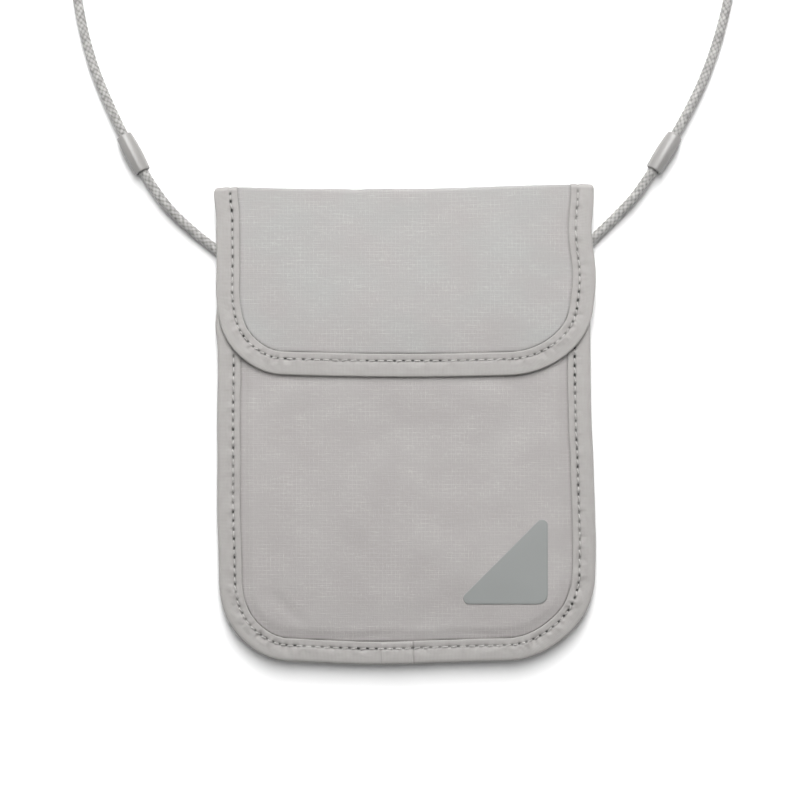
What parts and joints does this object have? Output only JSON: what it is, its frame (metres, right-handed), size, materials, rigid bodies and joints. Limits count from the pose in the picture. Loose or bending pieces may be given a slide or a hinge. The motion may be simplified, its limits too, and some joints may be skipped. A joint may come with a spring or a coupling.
{
  "type": "neck pouch wallet",
  "caption": "Flat zipped travel pouch with a folded flap, bound edges and a round braided neck cord with barrel beads",
  "frame": {"origin": "centre of the pouch's footprint on the surface that it lies on, without the cord and what is on it", "axes": "+X right across the front, +Y up to the folded top edge, +Z out of the front face, away from the surface"},
  "size_m": [0.2421, 0.306, 0.01],
  "materials": {
    "shell_cloth": "woven ripstop nylon, satin",
    "lining_cloth": "plain weave lining, matt",
    "edge_tape": "folded woven tape, satin",
    "thread": "twisted polyester thread",
    "label": "soft moulded rubber, matt",
    "loop_pile": "loop pile",
    "hook_pile": "moulded hooks on a woven ground",
    "zip_tape": "herringbone woven tape",
    "zip_coil": "nylon coil",
    "zip_metal": "painted die-cast metal",
    "cord": "round braid of polyester yarn",
    "bead": "moulded plastic, faceted, glossy"
  },
  "bodies": {
    "pouch": {"back_panel": "shell_cloth", "pocket_liner": "lining_cloth", "front_lower_panel": "shell_cloth", "front_upper_panel": "shell_cloth", "mouth_binding": "edge_tape", "body_binding": "edge_tape", "body_thread": "thread", "label": "label", "loop_pad": "loop_pile", "zip_tape_lower": "zip_tape", "zip_tape_upper": "zip_tape", "zip_coil_lower": "zip_coil", "zip_coil_upper": "zip_coil", "zip_stops": "zip_metal", "cord_anchor_left": "edge_tape", "cord_anchor_right": "edge_tape", "neck_cord_left": "cord", "neck_cord_right": "cord", "cord_coil": "cord", "coil_tie": "edge_tape"},
    "spine": {"top_spine": "shell_cloth"},
    "flap": {"flap_outer": "shell_cloth", "flap_lining": "lining_cloth", "flap_binding": "edge_tape", "flap_thread": "thread", "hook_pad": "hook_pile"},
    "slider": {"zip_slider": "zip_metal", "zip_pull": "zip_metal"},
    "bead_left": {"cord_bead_left": "bead"},
    "bead_right": {"cord_bead_right": "bead"}
  },
  "joints": [
    {"name": "flap_fold", "type": "hinge", "parent": "spine", "child": "flap", "pos_m": [0, 0.0857, 0.0093], "axis": [-1, 0, 0], "range_deg": [0, 90]},
    {"name": "spine_fold", "type": "hinge", "parent": "pouch", "child": "spine", "pos_m": [0, 0.0857, 0.0008], "axis": [-1, 0, 0], "range_deg": [0, 90]},
    {"name": "zip_slide", "type": "slide", "parent": "pouch", "child": "slider", "axis": [1, 0, 0], "range_m": [0, 0.08]},
    {"name": "bead_left_slide", "type": "slide", "parent": "pouch", "child": "bead_left", "axis": [-0.4713, 0.882, 0], "range_m": [-0.002, 0.002]},
    {"name": "bead_right_slide", "type": "slide", "parent": "pouch", "child": "bead_right", "axis": [0.53, 0.848, 0], "range_m": [-0.003, 0.003]}
  ],
  "couplings": [
    {"joint": "spine_fold", "follows": "flap_fold", "ratio": 1}
  ]
}
